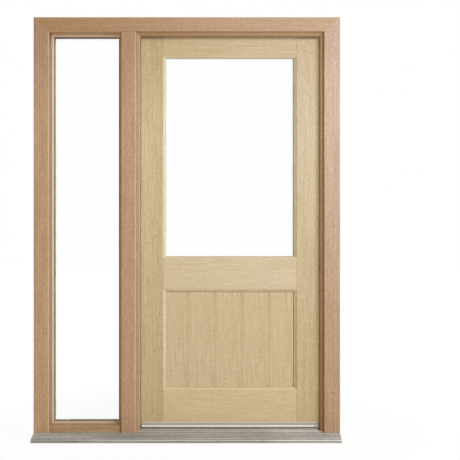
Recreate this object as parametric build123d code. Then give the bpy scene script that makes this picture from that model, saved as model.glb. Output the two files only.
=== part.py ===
from build123d import *
import os

# Glazed entrance door in a timber frame with one narrow sidelight, seen from outside.
# +X runs to the right, +Y into the building, +Z up. The front of the frame is the plane Y = 0.
# X = 0 is the middle of the frame's width and Z = 0 is the underside of the sill.

# Door leaf
leaf_width = 914.0
leaf_height = 1981.0
leaf_thickness = 44.0
leaf_gap = 5.0
stile_width = 118.0
top_rail_width = 99.0
middle_rail_width = 157.0
bottom_rail_width = 190.0
panel_opening_height = 512.0
leaf_arris_radius = 2.0
joint_ease = 0.8

# Moulding worked on the leaf around the glass and the panel
lip_width = 13.0
glass_rail_lip_width = 8.0
lip_bevel_depth = 8.0
lip_edge = 6.0
lip_nose_radius = 2.0
inner_lip_edge = 3.0
inner_nose_radius = 2.0

# Frame members, as faces seen from outside
frame_depth = 94.0
left_jamb_face = 77.0
right_jamb_face = 80.0
mullion_face = 73.0
head_face = 72.0
sidelight_face_width = 363.0
arris_radius = 6.0
back_arris_radius = 2.0

# Moulded door stop
splay_width = 5.0
stop_width = 15.5
stop_setback = 20.0
stop_arris_radius = 8.0
rebate_offset = 10.0

# Sidelight glazing
reveal_width = 4.0
bead_setback = 48.0
bead_width = 10.0
bead_nose = 1.0
bead_edge = 3.0
rail_setback = 18.0
rail_face = 33.0
rail_arris_radius = 4.0

# Sealed glass units
pane_thickness = 4.0
cavity = 16.0
pane_edge_gap = 3.0
sidelight_spacer_show = 6.0
door_spacer_show = 1.0
panel_edge_gap = 2.0

# Sill
sill_projection = 68.0
sill_nose_height = 16.0
sill_back_height = 46.0
cover_thickness = 3.0
cover_return = 14.0
nose_radius = 4.0
groove_radius = 4.0
groove_depth = 2.2
groove_from_nose = 8.0
tread_groove_radius = 1.5
tread_groove_depth = 0.8
tread_groove_pitch = 14.0

# Weather bar across the foot of the leaf
bar_top = 26.0
bar_nose_top = 14.5
bar_lip_bottom = 4.5
bar_flange_bottom = 2.0
bar_projection = 12.0
bar_wall = 3.0
bar_nose_radius = 2.5
bar_end_gap = 6.0

# Butt hinges
hinge_height = 100.0
hinge_plate_width = 30.0
hinge_plate = 3.0
hinge_axis_back = 7.0
hinge_top_inset = 150.0
hinge_bottom_inset = 225.0
knuckle_count = 5
knuckle_gap = 0.3
pin_radius = 3.0
pin_clearance = 0.05
pin_head_radius = 4.8
pin_head_height = 3.0

# Lines across the frame
doorway_face_width = leaf_width + 2 * leaf_gap + 2 * rebate_offset
frame_width = left_jamb_face + sidelight_face_width + mullion_face + doorway_face_width + right_jamb_face
x_left = -frame_width / 2
x_sidelight_left = x_left + left_jamb_face
x_mullion_left = x_sidelight_left + sidelight_face_width
x_mullion_right = x_mullion_left + mullion_face
x_door_right = x_mullion_right + doorway_face_width
x_right = x_door_right + right_jamb_face
leaf_left = x_mullion_right + rebate_offset + leaf_gap
leaf_right = leaf_left + leaf_width
moulding_width = splay_width + stop_width

# Lines up the frame
leaf_bottom = sill_back_height + leaf_gap
leaf_top = leaf_bottom + leaf_height
z_head_face = leaf_top + leaf_gap + rebate_offset
z_top = z_head_face + head_face

# Lines through the depth
leaf_front = frame_depth - leaf_thickness
stop_back = leaf_front - leaf_gap
lip_depth = lip_bevel_depth + lip_edge
glass_front = leaf_front + lip_depth
unit_thickness = 2 * pane_thickness + cavity
glass_back = glass_front + unit_thickness
sill_front = -sill_projection

# A clear margin for cutting solids that reach past what they cut
margin = 50.0

# Two places nearer than this are the same
same_place = 0.01


def prism(points, direction, length):
    """A closed outline of 3-D points carried straight along a direction."""
    return extrude(make_face(Polyline(*points, close=True)), amount=length, dir=direction)


def along_z(points, z_low, z_high):
    """An outline in X and Y carried up from one level to another."""
    return prism([(x, y, z_low) for x, y in points], (0, 0, 1), z_high - z_low)


def along_x(points, x_low, x_high):
    """An outline in Y and Z carried across from one line to another."""
    return prism([(x_low, y, z) for y, z in points], (1, 0, 0), x_high - x_low)


def through(points):
    """An outline in X and Z carried right through the depth of the door set."""
    y_low = sill_front - margin
    y_high = frame_depth + margin
    return prism([(x, y_low, z) for x, z in points], (0, 1, 0), y_high - y_low)


def block(x_low, x_high, y_low, y_high, z_low, z_high):
    """A square-edged block between two corners."""
    size = (x_high - x_low, y_high - y_low, z_high - z_low)
    centre = ((x_high + x_low) / 2, (y_high + y_low) / 2, (z_high + z_low) / 2)
    return Pos(*centre) * Box(*size)


def edges_at(solid, axis, places):
    """The edges along an axis that stand at the given places across it."""
    chosen = []
    for edge in solid.edges().filter_by(axis):
        middle = edge.center()
        seat = (middle.X, middle.Y) if axis == Axis.Z else (middle.Y, middle.Z)
        if any(abs(seat[0] - u) < same_place and abs(seat[1] - v) < same_place for u, v in places):
            chosen.append(edge)
    return chosen


def round_edges(solid, axis, places, radius):
    """Round over the edges along an axis that stand at the given places across it."""
    return fillet(edges_at(solid, axis, places), radius)


def mitre_outline(side, low, high, widths):
    """The X and Z outline of one mitred side of a rectangle.

    The widths are those of the upright strips and of the level strips round it.
    """
    (x0, z0), (x1, z1) = low, high
    across, up = widths
    inner = {
        "left": [(x0, z0), (x0, z1), (x0 + across, z1 - up), (x0 + across, z0 + up)],
        "right": [(x1, z0), (x1, z1), (x1 - across, z1 - up), (x1 - across, z0 + up)],
        "bottom": [(x0, z0), (x1, z0), (x1 - across, z0 + up), (x0 + across, z0 + up)],
        "top": [(x0, z1), (x1, z1), (x1 - across, z1 - up), (x0 + across, z1 - up)],
    }
    return inner[side]


def mitred_strip(side, low, high, widths, profile, nose, nose_radius):
    """A moulded strip on one side of a rectangle, its ends cut to meet its neighbours.

    The profile gives how far each point stands in from the rectangle, and its place in the depth.
    The nose is the number of the profile's point that is rounded over.
    """
    (x0, z0), (x1, z1) = low, high
    if side in ("left", "right"):
        start, way = (x0, 1) if side == "left" else (x1, -1)
        section = [(start + way * inset, depth) for inset, depth in profile]
        strip = along_z(section, z0, z1)
        axis = Axis.Z
    else:
        start, way = (z0, 1) if side == "bottom" else (z1, -1)
        section = [(depth, start + way * inset) for inset, depth in profile]
        strip = along_x(section, x0, x1)
        axis = Axis.X
    strip = round_edges(strip, axis, [section[nose]], nose_radius)
    return strip & through(mitre_outline(side, low, high, widths))


def ring(low, high, outer_inset, inner_inset, y_low, y_high):
    """A flat rectangular ring inside a rectangle."""
    (x0, z0), (x1, z1) = low, high
    outer = block(x0 + outer_inset, x1 - outer_inset, y_low, y_high, z0 + outer_inset, z1 - outer_inset)
    inner = block(
        x0 + inner_inset, x1 - inner_inset, y_low - 1, y_high + 1, z0 + inner_inset, z1 - inner_inset
    )
    return outer - inner


def pane(low, high, y_low):
    """A sheet of glass inside a rectangle, held off its edges."""
    (x0, z0), (x1, z1) = low, high
    gap = pane_edge_gap
    return block(x0 + gap, x1 - gap, y_low, y_low + pane_thickness, z0 + gap, z1 - gap)


def glass_unit(name, low, high, spacer_inset):
    """Two panes and the spacer between them, as three pieces."""
    inner_pane_front = glass_front + pane_thickness + cavity
    spacer = ring(low, high, pane_edge_gap, spacer_inset, glass_front + pane_thickness, inner_pane_front)
    return {
        f"{name}_outer_pane": pane(low, high, glass_front),
        f"{name}_inner_pane": pane(low, high, inner_pane_front),
        f"{name}_spacer": spacer,
    }


def sill_line(y):
    """The height of the sill's top at a place in the depth, up to the leaf."""
    slope = (sill_back_height - sill_nose_height) / (leaf_front - sill_front)
    return sill_nose_height + slope * (y - sill_front)


def sill_space():
    """Everything under the sill's top, which the frame members are cut away from."""
    outline = [
        (sill_front, -margin),
        (sill_front, sill_nose_height),
        (leaf_front, sill_back_height),
        (frame_depth + margin, sill_back_height),
        (frame_depth + margin, -margin),
    ]
    return along_x(outline, x_left - margin, x_right + margin)


def door_side(face_edge, way):
    """The moulded stop and rebate beside the leaf, from the face back. Way is +1 or -1 along the width."""
    wall = face_edge + way * rebate_offset
    stop_edge = face_edge + way * moulding_width
    return [
        (face_edge, 0),
        (face_edge + way * splay_width, stop_setback),
        (stop_edge, stop_setback),
        (stop_edge, stop_back),
        (wall, stop_back),
        (wall, frame_depth),
    ]


def sidelight_side(face_edge, way):
    """The splayed reveal and glazing rebate beside the sidelight, from the face back."""
    wall = face_edge + way * reveal_width
    sight = wall + way * bead_width
    return [
        (face_edge, 0),
        (wall, bead_setback),
        (wall, glass_back),
        (sight, glass_back),
        (sight, frame_depth),
    ]


def turned(points):
    """Points given as width and depth, as depth and height."""
    return [(depth, across) for across, depth in points]


def stop_corner(face_edge, way):
    """Where the stop's rounded front corner stands."""
    return (face_edge + way * moulding_width, stop_setback)


def left_jamb():
    outline = [(x_left, frame_depth), (x_left, 0)] + sidelight_side(x_sidelight_left, 1)
    jamb = along_z(outline, 0, z_top)
    jamb = round_edges(jamb, Axis.Z, [(x_sidelight_left, 0)], arris_radius)
    jamb = round_edges(jamb, Axis.Z, [(x_left, 0), (x_left, frame_depth)], back_arris_radius)
    region = [
        (x_left, -margin),
        (x_left, z_top),
        (x_sidelight_left, z_head_face),
        (x_sidelight_left + moulding_width, z_head_face - moulding_width),
        (x_sidelight_left + moulding_width, -margin),
    ]
    return (jamb & through(region)) - sill_space()


def right_jamb():
    outline = [(x_right, frame_depth), (x_right, 0)] + door_side(x_door_right, -1)
    jamb = along_z(outline, 0, z_top)
    jamb = round_edges(jamb, Axis.Z, [(x_door_right, 0)], arris_radius)
    jamb = round_edges(jamb, Axis.Z, [stop_corner(x_door_right, -1)], stop_arris_radius)
    jamb = round_edges(jamb, Axis.Z, [(x_right, 0), (x_right, frame_depth)], back_arris_radius)
    region = [
        (x_right, -margin),
        (x_right, z_top),
        (x_door_right, z_head_face),
        (x_door_right - moulding_width, z_head_face - moulding_width),
        (x_door_right - moulding_width, -margin),
    ]
    jamb = (jamb & through(region)) - sill_space()
    wall = x_door_right - rebate_offset
    for z in hinge_levels():
        jamb -= hinge_flap(wall, wall + hinge_plate, z)
    return jamb


def mullion():
    outline = sidelight_side(x_mullion_left, -1)[::-1] + door_side(x_mullion_right, 1)
    post = along_z(outline, 0, z_top)
    post = round_edges(post, Axis.Z, [(x_mullion_left, 0), (x_mullion_right, 0)], arris_radius)
    post = round_edges(post, Axis.Z, [stop_corner(x_mullion_right, 1)], stop_arris_radius)
    region = [
        (x_mullion_left - moulding_width, -margin),
        (x_mullion_left - moulding_width, z_head_face - moulding_width),
        (x_mullion_left, z_head_face),
        (x_mullion_right, z_head_face),
        (x_mullion_right + moulding_width, z_head_face - moulding_width),
        (x_mullion_right + moulding_width, -margin),
    ]
    return (post & through(region)) - sill_space()


def head():
    back = [(frame_depth, z_top), (0, z_top)]
    x_middle = (x_mullion_left + x_mullion_right) / 2
    top_edges = [(0, z_top), (frame_depth, z_top)]
    over_sidelight = along_x(back + turned(sidelight_side(z_head_face, -1)), x_left, x_middle)
    over_sidelight = round_edges(over_sidelight, Axis.X, [(0, z_head_face)], arris_radius)
    over_sidelight = round_edges(over_sidelight, Axis.X, top_edges, back_arris_radius)
    over_door = along_x(back + turned(door_side(z_head_face, -1)), x_middle, x_right)
    over_door = round_edges(over_door, Axis.X, [(0, z_head_face)], arris_radius)
    over_door = round_edges(over_door, Axis.X, top_edges, back_arris_radius)
    over_door = round_edges(
        over_door, Axis.X, [(stop_setback, z_head_face - moulding_width)], stop_arris_radius
    )
    z_low = z_head_face - moulding_width
    region = [
        (x_left, z_top),
        (x_right, z_top),
        (x_door_right, z_head_face),
        (x_door_right - moulding_width, z_low),
        (x_mullion_right + moulding_width, z_low),
        (x_mullion_right, z_head_face),
        (x_mullion_left, z_head_face),
        (x_mullion_left - moulding_width, z_low),
        (x_sidelight_left + moulding_width, z_low),
        (x_sidelight_left, z_head_face),
    ]
    outline = through(region)
    return (over_sidelight & outline) + (over_door & outline)


def sill_outline(inset):
    """The sill's section, drawn in from its top and nose by the thickness of its cover."""
    return [
        (frame_depth, 0),
        (frame_depth, sill_back_height - inset),
        (leaf_front, sill_back_height - inset),
        (sill_front + inset, sill_line(sill_front + inset) - inset),
        (sill_front + inset, 0),
    ]


def sill_core():
    core = along_x(sill_outline(cover_thickness), x_left, x_right)
    relief = block(
        x_left, x_right, sill_front, sill_front + cover_return + cover_thickness, 0, cover_thickness
    )
    return core - relief


def sill_groove(y, radius, depth):
    """A round cutter that leaves a groove along the sill's top."""
    z = sill_line(y) + radius - depth
    return Pos(0, y, z) * Rot(0, 90, 0) * Cylinder(radius, frame_width + margin)


def sill_cover():
    cover = along_x(sill_outline(0), x_left, x_right)
    cover = round_edges(cover, Axis.X, [(sill_front, sill_nose_height)], nose_radius)
    core = along_x(sill_outline(cover_thickness), x_left - margin, x_right + margin)
    underside = block(
        x_left - margin, x_right + margin, sill_front, sill_front + cover_return, 0, cover_thickness
    )
    cover -= core - underside
    y_groove = sill_front + groove_from_nose
    cover -= sill_groove(y_groove, groove_radius, groove_depth)
    for index in range(1, int((stop_setback - y_groove) / tread_groove_pitch)):
        y_tread = y_groove + index * tread_groove_pitch
        cover -= sill_groove(y_tread, tread_groove_radius, tread_groove_depth)
    return cover


def sidelight_opening():
    """The glazing rebate of the sidelight, as its low and high corners in X and Z."""
    low = (x_sidelight_left + reveal_width, sill_line(rail_setback) + rail_face)
    high = (x_mullion_left - reveal_width, z_head_face - reveal_width)
    return low, high


def sidelight_bottom_rail():
    (x0, z_rail), (x1, z1) = sidelight_opening()
    outline = [
        (rail_setback, 0),
        (rail_setback, z_rail),
        (glass_back, z_rail),
        (glass_back, z_rail + bead_width),
        (frame_depth, z_rail + bead_width),
        (frame_depth, 0),
    ]
    rail = along_x(outline, x_sidelight_left, x_mullion_left)
    rail = round_edges(rail, Axis.X, [(rail_setback, z_rail)], rail_arris_radius)
    return rail - sill_space() - left_jamb() - mullion()


def sidelight_pieces():
    low, high = sidelight_opening()
    bead_profile = [
        (0, bead_setback),
        (bead_nose, bead_setback),
        (bead_width, glass_front - bead_edge),
        (bead_width, glass_front),
        (0, glass_front),
    ]
    pieces = glass_unit("sidelight", low, high, bead_width + sidelight_spacer_show)
    widths = (bead_width, bead_width)
    for side in ("left", "right", "top", "bottom"):
        bead = mitred_strip(side, low, high, widths, bead_profile, 2, bead_nose)
        pieces[f"sidelight_bead_{side}"] = bead
    return pieces


def glass_opening():
    """The glazed opening of the leaf, between its stiles and rails."""
    z_low = leaf_bottom + bottom_rail_width + panel_opening_height + middle_rail_width
    return (leaf_left + stile_width, z_low), (leaf_right - stile_width, leaf_top - top_rail_width)


def panel_opening():
    """The panelled opening of the leaf, below the middle rail."""
    z_low = leaf_bottom + bottom_rail_width
    return (leaf_left + stile_width, z_low), (leaf_right - stile_width, z_low + panel_opening_height)


def lip_widths(opening):
    """The widths of the lips on the stiles and on the rails round an opening."""
    return (lip_width, glass_rail_lip_width if opening == glass_opening() else lip_width)


def lip(side, opening, face, bevel_end, bed, nose_radius):
    """A moulded lip on one side of an opening, bevelled from a face of the leaf to its bed on the glass."""
    widths = lip_widths(opening)
    width = widths[0] if side in ("left", "right") else widths[1]
    profile = [(0, face), (width, bevel_end), (width, bed), (0, bed)]
    return mitred_strip(side, *opening, widths, profile, 1, nose_radius)


def front_lip(side, opening):
    """The moulding on the outside of an opening, from the face of the leaf to the glass."""
    return lip(side, opening, leaf_front, leaf_front + lip_bevel_depth, glass_front, lip_nose_radius)


def back_lip(side, opening):
    """The moulding on the inside of an opening, from the glass to the face of the leaf."""
    return lip(side, opening, frame_depth, glass_back + inner_lip_edge, glass_back, inner_nose_radius)


def both_lips(side, opening):
    """The mouldings on both faces of an opening."""
    return [front_lip(side, opening), back_lip(side, opening)]


def face_edges(across):
    """The two places, on the outer and inner faces of the leaf, at a line across it."""
    return [(across, leaf_front), (across, frame_depth)]


def stile(side, x_outer, x_inner):
    """A full-height stile with the lips of both openings worked on it."""
    x_low, x_high = sorted((x_outer, x_inner))
    solid = block(x_low, x_high, leaf_front, frame_depth, leaf_bottom, leaf_top)
    solid = round_edges(solid, Axis.Z, face_edges(x_outer), leaf_arris_radius)
    for moulding in [front_lip(side, glass_opening())] + both_lips(side, panel_opening()):
        solid += moulding
    return solid


def rail(z_low, z_high, lips):
    """A rail between the stiles, its ends eased where they meet the stiles."""
    (x0, z0), (x1, z1) = glass_opening()
    solid = block(x0, x1, leaf_front, frame_depth, z_low, z_high)
    ends = [edge for x in (x0, x1) for edge in edges_at(solid, Axis.Z, face_edges(x))]
    solid = chamfer(ends, joint_ease)
    for moulding in lips:
        solid += moulding
    return solid


def leaf_members():
    glass = glass_opening()
    panel = panel_opening()
    (x0, z_glass), (x1, z_glass_top) = glass
    z_panel = panel[0][1]
    z_panel_top = panel[1][1]
    hinge_stile = stile("right", leaf_right, x1)
    for z in hinge_levels():
        hinge_stile -= hinge_flap(leaf_right - hinge_plate, leaf_right, z)
    middle_lips = [front_lip("bottom", glass)] + both_lips("top", panel)
    return {
        "lock_stile": stile("left", leaf_left, x0),
        "hinge_stile": hinge_stile,
        "top_rail": rail(z_glass_top, leaf_top, [front_lip("top", glass)]),
        "middle_rail": rail(z_panel_top, z_glass, middle_lips),
        "bottom_rail": rail(leaf_bottom, z_panel, both_lips("bottom", panel)),
    }


def lower_panel():
    (x0, z0), (x1, z1) = panel_opening()
    gap = panel_edge_gap
    return block(x0 + gap, x1 - gap, glass_front, glass_back, z0 + gap, z1 - gap)


def leaf_glazing():
    low, high = glass_opening()
    pieces = glass_unit("door", low, high, glass_rail_lip_width + door_spacer_show)
    for side in ("left", "right", "top", "bottom"):
        pieces[f"door_bead_{side}"] = back_lip(side, (low, high))
    return pieces


def weather_bar():
    y_nose = leaf_front - bar_projection
    drop = (bar_top - bar_nose_top) / bar_projection
    inner_nose = bar_nose_top + drop * bar_wall - bar_wall
    inner_back = bar_top - drop * bar_wall - bar_wall
    section = [
        (leaf_front, bar_flange_bottom),
        (leaf_front, bar_top),
        (y_nose, bar_nose_top),
        (y_nose, bar_lip_bottom),
        (y_nose + bar_wall, bar_lip_bottom),
        (y_nose + bar_wall, inner_nose),
        (leaf_front - bar_wall, inner_back),
        (leaf_front - bar_wall, bar_flange_bottom),
    ]
    outline = [(y, leaf_bottom + z) for y, z in section]
    x_low = x_mullion_right + moulding_width + bar_end_gap
    x_high = x_door_right - moulding_width - bar_end_gap
    bar = along_x(outline, x_low, x_high)
    return round_edges(bar, Axis.X, [(y_nose, leaf_bottom + bar_nose_top)], bar_nose_radius)


def hinge_levels():
    """The foot of each hinge, from the bottom one up."""
    low = leaf_bottom + hinge_bottom_inset
    high = leaf_top - hinge_top_inset - hinge_height
    return [low, (low + high) / 2, high]


def hinge_flap(x_low, x_high, z):
    """The flat flap of a hinge, let in flush."""
    return block(x_low, x_high, frame_depth - hinge_plate_width, frame_depth, z, z + hinge_height)


def hinge_leaf(x_low, x_high, z, first):
    """One hinge leaf: its flap, and every second knuckle from the first one up."""
    axis_x = leaf_right + leaf_gap / 2
    axis_y = frame_depth + hinge_axis_back
    radius = leaf_gap / 2 + hinge_plate
    pitch = hinge_height / knuckle_count
    solid = hinge_flap(x_low, x_high, z)
    for index in range(first, knuckle_count, 2):
        z_low = z + index * pitch + knuckle_gap / 2
        z_high = z + (index + 1) * pitch - knuckle_gap / 2
        middle = (z_low + z_high) / 2
        knuckle = Pos(axis_x, axis_y, middle) * Cylinder(radius, z_high - z_low)
        solid += block(x_low, x_high, frame_depth, axis_y, z_low, z_high) + knuckle
    bore = Pos(axis_x, axis_y, z + hinge_height / 2)
    return solid - bore * Cylinder(pin_radius + pin_clearance, hinge_height + margin)


def hinge_pin(z):
    """A hinge pin with a low button at each end."""
    axis_x = leaf_right + leaf_gap / 2
    axis_y = frame_depth + hinge_axis_back
    low = z + knuckle_gap / 2
    high = z + hinge_height - knuckle_gap / 2
    pin = Pos(axis_x, axis_y, (low + high) / 2) * Cylinder(pin_radius, high - low)
    for button in (low - pin_head_height / 2, high + pin_head_height / 2):
        pin += Pos(axis_x, axis_y, button) * Cylinder(pin_head_radius, pin_head_height)
    return pin


def hinges():
    pieces = {}
    wall = leaf_right + leaf_gap
    for name, z in zip(("bottom", "middle", "top"), hinge_levels()):
        pieces[f"{name}_hinge_frame_leaf"] = hinge_leaf(wall, wall + hinge_plate, z, 0)
        pieces[f"{name}_hinge_door_leaf"] = hinge_leaf(leaf_right - hinge_plate, leaf_right, z, 1)
        pieces[f"{name}_hinge_pin"] = hinge_pin(z)
    return pieces


def door_set():
    """Every piece of the door set, by name."""
    pieces = {
        "left_jamb": left_jamb(),
        "mullion": mullion(),
        "right_jamb": right_jamb(),
        "head": head(),
        "sill_core": sill_core(),
        "sill_cover": sill_cover(),
        "sidelight_bottom_rail": sidelight_bottom_rail(),
        "lower_panel": lower_panel(),
        "weather_bar": weather_bar(),
    }
    for group in (sidelight_pieces(), leaf_members(), leaf_glazing(), hinges()):
        pieces |= group
    return pieces


os.makedirs("parts", exist_ok=True)
for node, shape in door_set().items():
    export_step(shape, f"parts/{node}.step")
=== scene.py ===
"""The looks of a glazed entrance door in a timber frame, with one narrow sidelight."""

import logging
import math
from collections.abc import Callable
from dataclasses import dataclass, field
from enum import Enum

import bmesh
import bpy
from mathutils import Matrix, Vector


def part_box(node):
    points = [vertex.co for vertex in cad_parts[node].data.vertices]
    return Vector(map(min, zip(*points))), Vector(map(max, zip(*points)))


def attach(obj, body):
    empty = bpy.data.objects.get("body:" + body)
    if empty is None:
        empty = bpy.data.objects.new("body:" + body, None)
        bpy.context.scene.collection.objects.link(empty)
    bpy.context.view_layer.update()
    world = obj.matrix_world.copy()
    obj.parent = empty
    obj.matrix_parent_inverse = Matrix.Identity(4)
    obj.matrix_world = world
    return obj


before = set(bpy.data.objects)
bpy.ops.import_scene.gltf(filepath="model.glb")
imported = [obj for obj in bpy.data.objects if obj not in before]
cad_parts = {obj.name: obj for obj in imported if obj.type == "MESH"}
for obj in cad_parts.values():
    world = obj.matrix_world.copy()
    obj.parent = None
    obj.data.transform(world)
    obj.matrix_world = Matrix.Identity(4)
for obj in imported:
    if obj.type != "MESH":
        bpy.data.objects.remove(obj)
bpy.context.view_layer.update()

LOG = logging.getLogger("door_set")

# Points this near are one, a normal this far along an axis faces it, an edge this soft is crisp.
SAME_PLACE = 1e-5
FACING = 0.9
CRISP = 0.0005

Span = tuple[float, float]
Triple = tuple[float, float, float]
Colour = tuple[float, float, float]
Socket = bpy.types.NodeSocket

WHITE: Colour = (1.0, 1.0, 1.0)

# Limits in metres: the openings in X, the sill's nose in Y, its foot and the slope behind it in Z.
DOORWAY: Span = (-0.2555, 0.6885)
SIDE_OPENING: Span = (-0.6915, -0.3285)
NOSE: Span = (-0.080, -0.0640)
NOSE_FOOT: Span = (-0.010, 0.0112)
SLOPE_FOOT: Span = (0.0154, 0.030)


class Body(Enum):
    """The two bodies that a piece can ride on."""

    FRAME = "frame"
    DOOR = "door"


class Slot(Enum):
    """A material slot name for hinge steel, which this script does not use."""

    STEEL = "hinge_steel"


class Grain(Enum):
    """The way the grain runs in a piece, as the order of its across, depth and length axes."""

    UP = (0, 1, 2)
    ACROSS = (2, 1, 0)


class Side(Enum):
    """The way a hinge flap faces across the gap at the hinged edge."""

    FRAME = -1
    DOOR = 1


class Board:
    """A node tree, with short calls that add and join its nodes."""

    MIX_COLOURS = (6, 7)
    MIX_RESULT = 2

    def __init__(self, tree: bpy.types.NodeTree) -> None:
        """Take the node tree of a material or of the world, and empty it."""
        self.tree = tree
        self.tree.nodes.clear()

    def add(
        self, kind: str, inputs: dict[str | int, object] | None = None, **settings: object
    ) -> bpy.types.Node:
        """Add a node.

        Args:
            kind: The node's type name.
            inputs: Links and plain values for its sockets, by name or number.
            **settings: Properties of the node.

        Returns:
            The new node.
        """
        node = self.tree.nodes.new(kind)
        for key, value in settings.items():
            setattr(node, key, value)
        for key, value in (inputs or {}).items():
            if isinstance(value, Socket):
                self.tree.links.new(value, node.inputs[key])
            else:
                node.inputs[key].default_value = value
        return node

    def math(self, operation: str, first: object, second: object = 0.0) -> Socket:
        """Work out one number from one or two numbers or sockets, by Blender's name for the sum."""
        inputs = {0: first, 1: second}
        return self.add("ShaderNodeMath", inputs, operation=operation).outputs[0]

    def weigh(self, layers: list[Socket], weights: tuple[float, ...]) -> Socket:
        """Add up some values, each times its weight.

        Args:
            layers: The values.
            weights: Their weights.

        Returns:
            The socket of the sum.
        """
        parts = [self.math("MULTIPLY", *pair) for pair in zip(layers, weights)]
        total = parts[0]
        for part in parts[1:]:
            total = self.math("ADD", total, part)
        return total

    def spread(
        self, value: Socket, low: float, high: float, to_low: float = 0.0, to_high: float = 1.0
    ) -> Socket:
        """Carry a range of values over to another range, stopping at its ends."""
        inputs = dict(enumerate((value, low, high, to_low, to_high)))
        return self.add("ShaderNodeMapRange", inputs, interpolation_type="SMOOTHSTEP").outputs[0]

    def blend(self, share: object, first: object, second: object, mode: str = "MIX") -> Socket:
        """Mix two colours.

        Args:
            share: How much of the second shows, from 0 to 1.
            first: A colour or a socket.
            second: A colour or a socket.
            mode: Blender's name for the way of mixing.

        Returns:
            The socket of the mixed colour.
        """
        inputs = {"Factor": share}
        for number, colour in zip(self.MIX_COLOURS, (first, second)):
            inputs[number] = colour if isinstance(colour, Socket) else (*colour, 1.0)
        node = self.add("ShaderNodeMix", inputs, data_type="RGBA", blend_type=mode)
        return node.outputs[self.MIX_RESULT]

    def tinted(self, colour: object, tint: object) -> Socket:
        """One colour times another."""
        return self.blend(1.0, colour, tint, "MULTIPLY")

    def place(self, centre: Vector) -> Socket:
        """The place on the piece, measured from a point on it."""
        spot = self.add("ShaderNodeTexCoord").outputs["Object"]
        return self.add("ShaderNodeMapping", {"Vector": spot, "Location": -centre}).outputs[0]

    def split(self, place: Socket) -> list[Socket]:
        """The three parts of a place, as separate sockets."""
        return list(self.add("ShaderNodeSeparateXYZ", {0: place}).outputs)

    def join(self, parts: list[Socket]) -> Socket:
        """One place from its three parts."""
        return self.add("ShaderNodeCombineXYZ", dict(enumerate(parts))).outputs[0]

    def noise(self, place: Socket, cell: Triple, detail: float, roughness: float = 0.5) -> Socket:
        """Soft cloudy values from 0 to 1.

        Args:
            place: The place on the piece.
            cell: The size of one cloud along each part of the place, in metres.
            detail: How many finer layers there are.
            roughness: How strong the finer layers are.

        Returns:
            The socket of the value.
        """
        scale = [1.0 / size for size in cell]
        stretch = self.add("ShaderNodeMapping", {"Vector": place, "Scale": scale}).outputs[0]
        inputs = {"Vector": stretch, "Scale": 1.0, "Detail": detail, "Roughness": roughness}
        return self.add("ShaderNodeTexNoise", inputs, noise_dimensions="3D").outputs["Fac"]

    def lines(self, distance: Socket, detail: float, roughness: float) -> Socket:
        """Uneven lines along a distance in line widths, as values from 0 to 1."""
        inputs = {"W": distance, "Scale": 1.0, "Detail": detail, "Roughness": roughness}
        return self.add("ShaderNodeTexNoise", inputs, noise_dimensions="1D").outputs["Fac"]

    def bump(self, height: Socket, depth: float) -> Socket:
        """A surface normal from a height of 0 to 1, where 1 stands for the depth in metres."""
        inputs = {"Height": height, "Distance": depth, "Strength": 1.0}
        return self.add("ShaderNodeBump", inputs).outputs[0]

    def surface(self, **inputs: object) -> None:
        """Join a Principled shader to the output, its inputs named with _ for a space."""
        named = {key.replace("_", " "): value for key, value in inputs.items()}
        self.show(self.add("ShaderNodeBsdfPrincipled", named).outputs[0])

    def show(self, shader: Socket) -> None:
        """Join a shader to the output."""
        self.add("ShaderNodeOutputMaterial", {"Surface": shader})


def new_material(name: str) -> tuple[bpy.types.Material, Board]:
    """Start a material.

    Args:
        name: The material's name.

    Returns:
        The material and the board of its node tree.
    """
    material = bpy.data.materials.new(name)
    material.use_nodes = True
    return material, Board(material.node_tree)


def paint(piece: bpy.types.Object, material: bpy.types.Material) -> None:
    """Give a piece one material all over."""
    piece.data.materials.clear()
    piece.data.materials.append(material)


def middle_of(node: str) -> Vector:
    """The middle of a node's box."""
    low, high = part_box(node)
    return (low + high) / 2


@dataclass(frozen=True)
class Tone:
    """How a board differs from others: tints at its ends and lip, which are painted light and shade
    as well as the board's own tone, where it was sawn, how bold.
    """

    # The end tints paint light and shade along the board, together with its own tone.
    start: Colour = WHITE
    end: Colour = WHITE
    cut: float = 0.0
    # The lip tint paints a highlight or shade on the board's moulded edge.
    lip: Colour = WHITE
    bold: float = 1.0


@dataclass(frozen=True)
class Strip:
    """A part of a piece, between limits on some of its axes, that is brighter as a painted
    highlight or duller as painted shade.
    """

    tint: Colour
    x: Span | None = None
    y: Span | None = None
    z: Span | None = None
    soft: Triple = (CRISP, CRISP, CRISP)

    def lay(self, board: Board, place: Socket, colour: Socket) -> Socket:
        """Tint a colour where the strip is.

        Args:
            board: The board of the material's nodes.
            place: The place on the piece.
            colour: The colour under the strip.

        Returns:
            The socket of the new colour.
        """
        share: object = 1.0
        for part, ends, soft in zip(board.split(place), (self.x, self.y, self.z), self.soft):
            if ends:
                after = board.spread(part, ends[0] - soft, ends[0] + soft)
                before = board.spread(part, ends[1] - soft, ends[1] + soft, 1.0, 0.0)
                share = board.math("MULTIPLY", board.math("MULTIPLY", after, before), share)
        return board.blend(share, colour, board.tinted(colour, self.tint))


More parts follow.
